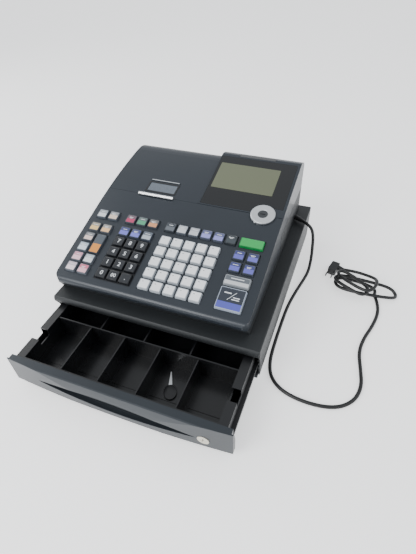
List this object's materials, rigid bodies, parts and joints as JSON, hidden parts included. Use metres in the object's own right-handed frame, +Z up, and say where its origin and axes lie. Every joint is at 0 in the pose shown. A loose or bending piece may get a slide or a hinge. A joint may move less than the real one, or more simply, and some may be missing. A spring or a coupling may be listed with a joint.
{
  "type": "electronic cash register",
  "caption": "Electronic cash register with a sloped keyboard, receipt printer, tilted screen and key dial, standing on a steel cash drawer drawn part open, with its mains cord.",
  "frame": {"origin": "centre of the underside of the rubber feet, measured over the whole register with its drawer part open and without the cord", "axes": "+Z up; -Y towards the operator, the way the drawer opens; +X to the operator's right"},
  "size_m": [0.6325, 0.6, 0.2243],
  "materials": {
    "case_steel": "fine textured powder coat, satin",
    "bright_steel": "zinc-plated, brushed",
    "tray_plastic": "moulded, fine grain",
    "fascia_plastic": "metallic-filled, satin",
    "body_plastic": "metallic-filled, satin",
    "lower_plastic": "moulded, fine grain",
    "rubber_black": "matt",
    "lens_acrylic": "polished",
    "screen_glass": "polished, reflective film behind",
    "window_smoke": "polished, smoked",
    "dial_silver": "spun, satin",
    "plug_black": "polished",
    "lock_nickel": "nickel plate",
    "key_dark": "clear cap over dark print",
    "key_white": "clear cap over white print",
    "key_blue": "clear cap over printed card",
    "key_grey": "clear cap over grey print",
    "key_mixed": "clear caps over coloured prints",
    "cord_black": "satin pvc",
    "board_green": "solder resist",
    "paper_white": "smooth",
    "silicone_grey": "translucent",
    "core_steel": "varnished laminations"
  },
  "bodies": {
    "register_body": {"case_cover": "case_steel", "case_base": "bright_steel", "rubber_feet": "rubber_black", "drawer_rails": "bright_steel", "release_solenoid": "bright_steel", "kick_out_spring": "bright_steel", "lower_housing": "lower_plastic", "housing_screws": "bright_steel", "keyboard_panel": "body_plastic", "contact_mat": "silicone_grey", "keyboard_board": "board_green", "main_board": "board_green", "power_transformer": "core_steel", "cutter_bar": "bright_steel", "printer_frame": "bright_steel", "display_housing": "body_plastic", "display_lens": "lens_acrylic", "display_panel": "screen_glass", "power_cord": "cord_black", "strain_relief": "rubber_black", "cord_hank": "cord_black", "power_plug": "rubber_black"},
    "drawer": {"drawer_pan": "case_steel", "drawer_fascia": "fascia_plastic", "drawer_lock_body": "lock_nickel", "till_tray": "tray_plastic", "till_dividers": "tray_plastic"},
    "drawer_lock": {"drawer_lock_plug": "lock_nickel"},
    "latch": {"latch_lever": "bright_steel"},
    "printer_lid": {"printer_cover": "body_plastic", "printer_window": "window_smoke"},
    "platen": {"platen_roller": "rubber_black"},
    "roll": {"paper_roll": "paper_white"},
    "mode_switch": {"mode_ring": "dial_silver", "mode_key_plug": "plug_black"},
    "pop_up_display": {"customer_display": "lens_acrylic"},
    "cash_key": {"cash_key": "key_blue"},
    "subtotal_key": {"subtotal_key": "key_grey"},
    "clerk_keys": {"clerk_keys": "key_mixed"},
    "function_keys_top": {"function_keys_top": "key_mixed"},
    "function_keys_left": {"function_keys_left": "key_mixed"},
    "function_keys_low_left": {"function_keys_low_left": "key_mixed"},
    "function_keys_right": {"function_keys_right": "key_mixed"},
    "numeric_key_zero": {"numeric_key_zero": "key_dark"},
    "numeric_key_double_zero": {"numeric_key_double_zero": "key_dark"},
    "numeric_key_point": {"numeric_key_point": "key_dark"},
    "numeric_key_one": {"numeric_key_one": "key_dark"},
    "numeric_key_two": {"numeric_key_two": "key_dark"},
    "numeric_key_three": {"numeric_key_three": "key_dark"},
    "numeric_key_four": {"numeric_key_four": "key_dark"},
    "numeric_key_five": {"numeric_key_five": "key_dark"},
    "numeric_key_six": {"numeric_key_six": "key_dark"},
    "numeric_key_seven": {"numeric_key_seven": "key_dark"},
    "numeric_key_eight": {"numeric_key_eight": "key_dark"},
    "numeric_key_nine": {"numeric_key_nine": "key_dark"},
    "department_keys_row_1": {"department_keys_row_1": "key_white"},
    "department_keys_row_2": {"department_keys_row_2": "key_white"},
    "department_keys_row_3": {"department_keys_row_3": "key_white"},
    "department_keys_row_4": {"department_keys_row_4": "key_white"},
    "department_keys_row_5": {"department_keys_row_5": "key_white"}
  },
  "joints": [
    {"name": "drawer_slide", "type": "slide", "parent": "register_body", "child": "drawer", "axis": [0, -1, 0], "range_m": [-0.14, 0.11]},
    {"name": "drawer_lock_turn", "type": "hinge", "parent": "drawer", "child": "drawer_lock", "pos_m": [0.158, -0.2915, 0.032], "axis": [0, -1, 0], "range_deg": [0, 90]},
    {"name": "latch_swing", "type": "hinge", "parent": "register_body", "child": "latch", "pos_m": [0, 0.286, 0.06], "axis": [1, 0, 0], "range_deg": [0, 20]},
    {"name": "printer_lid_hinge", "type": "hinge", "parent": "register_body", "child": "printer_lid", "pos_m": [-0.1, 0.296, 0.152], "axis": [-1, 0, 0], "range_deg": [0, 75]},
    {"name": "platen_spin", "type": "hinge", "parent": "register_body", "child": "platen", "pos_m": [-0.091, 0.112, 0.17], "axis": [1, 0, 0], "continuous": true},
    {"name": "roll_spin", "type": "hinge", "parent": "register_body", "child": "roll", "pos_m": [-0.091, 0.195, 0.142], "axis": [1, 0, 0], "continuous": true},
    {"name": "mode_turn", "type": "hinge", "parent": "register_body", "child": "mode_switch", "pos_m": [0.1375, 0.09257, 0.18772], "axis": [0, -0.2334, 0.9724], "range_deg": [-90, 60]},
    {"name": "pop_up_slide", "type": "slide", "parent": "register_body", "child": "pop_up_display", "axis": [0, 0, 1], "range_m": [0, 0.04]},
    {"name": "cash_key_press", "type": "slide", "parent": "register_body", "child": "cash_key", "axis": [0, 0.2703, -0.9628], "range_m": [0, 0.003], "stiffness_N_per_m": 200, "springref_m": -0.002},
    {"name": "subtotal_key_press", "type": "slide", "parent": "register_body", "child": "subtotal_key", "axis": [0, 0.2703, -0.9628], "range_m": [0, 0.003], "stiffness_N_per_m": 200, "springref_m": -0.002},
    {"name": "clerk_keys_press", "type": "slide", "parent": "register_body", "child": "clerk_keys", "axis": [0, 0.2703, -0.9628], "range_m": [0, 0.003], "stiffness_N_per_m": 200, "springref_m": -0.002},
    {"name": "function_keys_top_press", "type": "slide", "parent": "register_body", "child": "function_keys_top", "axis": [0, 0.2703, -0.9628], "range_m": [0, 0.003], "stiffness_N_per_m": 200, "springref_m": -0.002},
    {"name": "function_keys_left_press", "type": "slide", "parent": "register_body", "child": "function_keys_left", "axis": [0, 0.2703, -0.9628], "range_m": [0, 0.003], "stiffness_N_per_m": 200, "springref_m": -0.002},
    {"name": "function_keys_low_left_press", "type": "slide", "parent": "register_body", "child": "function_keys_low_left", "axis": [0, 0.2703, -0.9628], "range_m": [0, 0.003], "stiffness_N_per_m": 200, "springref_m": -0.002},
    {"name": "function_keys_right_press", "type": "slide", "parent": "register_body", "child": "function_keys_right", "axis": [0, 0.2703, -0.9628], "range_m": [0, 0.003], "stiffness_N_per_m": 200, "springref_m": -0.002},
    {"name": "numeric_key_zero_press", "type": "slide", "parent": "register_body", "child": "numeric_key_zero", "axis": [0, 0.2703, -0.9628], "range_m": [0, 0.003], "stiffness_N_per_m": 200, "springref_m": -0.002},
    {"name": "numeric_key_double_zero_press", "type": "slide", "parent": "register_body", "child": "numeric_key_double_zero", "axis": [0, 0.2703, -0.9628], "range_m": [0, 0.003], "stiffness_N_per_m": 200, "springref_m": -0.002},
    {"name": "numeric_key_point_press", "type": "slide", "parent": "register_body", "child": "numeric_key_point", "axis": [0, 0.2703, -0.9628], "range_m": [0, 0.003], "stiffness_N_per_m": 200, "springref_m": -0.002},
    {"name": "numeric_key_one_press", "type": "slide", "parent": "register_body", "child": "numeric_key_one", "axis": [0, 0.2703, -0.9628], "range_m": [0, 0.003], "stiffness_N_per_m": 200, "springref_m": -0.002},
    {"name": "numeric_key_two_press", "type": "slide", "parent": "register_body", "child": "numeric_key_two", "axis": [0, 0.2703, -0.9628], "range_m": [0, 0.003], "stiffness_N_per_m": 200, "springref_m": -0.002},
    {"name": "numeric_key_three_press", "type": "slide", "parent": "register_body", "child": "numeric_key_three", "axis": [0, 0.2703, -0.9628], "range_m": [0, 0.003], "stiffness_N_per_m": 200, "springref_m": -0.002},
    {"name": "numeric_key_four_press", "type": "slide", "parent": "register_body", "child": "numeric_key_four", "axis": [0, 0.2703, -0.9628], "range_m": [0, 0.003], "stiffness_N_per_m": 200, "springref_m": -0.002},
    {"name": "numeric_key_five_press", "type": "slide", "parent": "register_body", "child": "numeric_key_five", "axis": [0, 0.2703, -0.9628], "range_m": [0, 0.003], "stiffness_N_per_m": 200, "springref_m": -0.002},
    {"name": "numeric_key_six_press", "type": "slide", "parent": "register_body", "child": "numeric_key_six", "axis": [0, 0.2703, -0.9628], "range_m": [0, 0.003], "stiffness_N_per_m": 200, "springref_m": -0.002},
    {"name": "numeric_key_seven_press", "type": "slide", "parent": "register_body", "child": "numeric_key_seven", "axis": [0, 0.2703, -0.9628], "range_m": [0, 0.003], "stiffness_N_per_m": 200, "springref_m": -0.002},
    {"name": "numeric_key_eight_press", "type": "slide", "parent": "register_body", "child": "numeric_key_eight", "axis": [0, 0.2703, -0.9628], "range_m": [0, 0.003], "stiffness_N_per_m": 200, "springref_m": -0.002},
    {"name": "numeric_key_nine_press", "type": "slide", "parent": "register_body", "child": "numeric_key_nine", "axis": [0, 0.2703, -0.9628], "range_m": [0, 0.003], "stiffness_N_per_m": 200, "springref_m": -0.002},
    {"name": "department_keys_row_1_press", "type": "slide", "parent": "register_body", "child": "department_keys_row_1", "axis": [0, 0.2703, -0.9628], "range_m": [0, 0.003], "stiffness_N_per_m": 200, "springref_m": -0.002},
    {"name": "department_keys_row_2_press", "type": "slide", "parent": "register_body", "child": "department_keys_row_2", "axis": [0, 0.2703, -0.9628], "range_m": [0, 0.003], "stiffness_N_per_m": 200, "springref_m": -0.002},
    {"name": "department_keys_row_3_press", "type": "slide", "parent": "register_body", "child": "department_keys_row_3", "axis": [0, 0.2703, -0.9628], "range_m": [0, 0.003], "stiffness_N_per_m": 200, "springref_m": -0.002},
    {"name": "department_keys_row_4_press", "type": "slide", "parent": "register_body", "child": "department_keys_row_4", "axis": [0, 0.2703, -0.9628], "range_m": [0, 0.003], "stiffness_N_per_m": 200, "springref_m": -0.002},
    {"name": "department_keys_row_5_press", "type": "slide", "parent": "register_body", "child": "department_keys_row_5", "axis": [0, 0.2703, -0.9628], "range_m": [0, 0.003], "stiffness_N_per_m": 200, "springref_m": -0.002}
  ]
}
